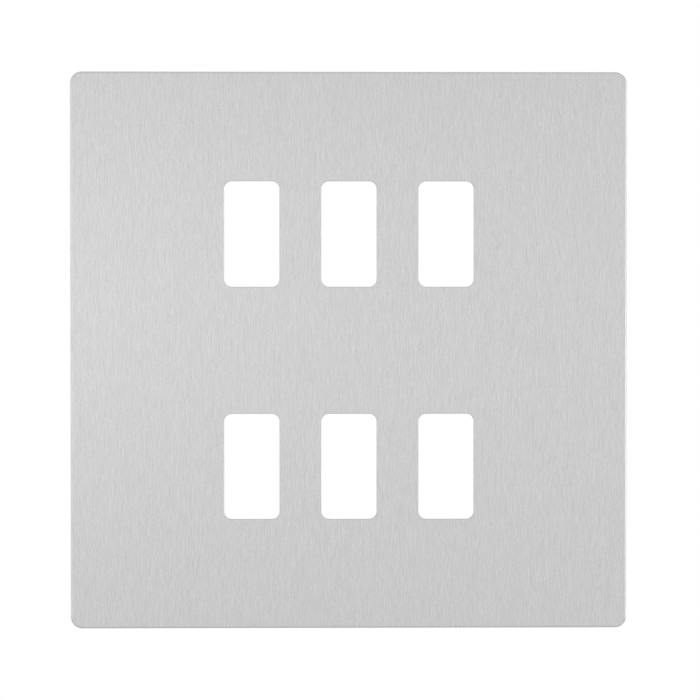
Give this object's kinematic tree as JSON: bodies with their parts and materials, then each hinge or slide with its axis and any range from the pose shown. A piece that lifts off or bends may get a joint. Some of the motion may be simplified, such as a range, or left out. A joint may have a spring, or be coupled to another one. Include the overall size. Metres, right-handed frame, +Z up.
{
  "type": "grid switch plate",
  "caption": "Square brushed stainless screwless front plate for grid switch modules, with its clip liner, pressed grid frame and box screws.",
  "frame": {"origin": "centre of the plate on the wall plane, which is also the back of the grid frame's sheet", "axes": "+Z up the plate, +X to the right seen from the front, and the face looks along -Y, so the wall box is on the +Y side"},
  "size_m": [0.146, 0.0314, 0.146],
  "materials": {
    "brushed_stainless": "vertical brushed grain",
    "moulded_black": "fine spark-eroded texture",
    "black_foam": "closed cell foam",
    "zinc_plated_sheet": "bright zinc plate",
    "phosphor_bronze": "rolled strip",
    "plated_rivet": "bright zinc",
    "terminal_brass": "machined bar",
    "clamp_screw_steel": "passivated zinc",
    "zinc_plated_screw": "bright zinc"
  },
  "bodies": {
    "root": {"face_plate": "brushed_stainless", "clip_liner": "moulded_black", "wall_gasket": "black_foam", "grid_frame": "zinc_plated_sheet", "earth_spring": "phosphor_bronze", "spring_rivet": "plated_rivet", "earth_terminal": "terminal_brass", "earth_clamp_screw": "clamp_screw_steel", "box_screw_1": "zinc_plated_screw", "box_screw_2": "zinc_plated_screw", "box_screw_3": "zinc_plated_screw", "box_screw_4": "zinc_plated_screw"}
  },
  "joints": []
}
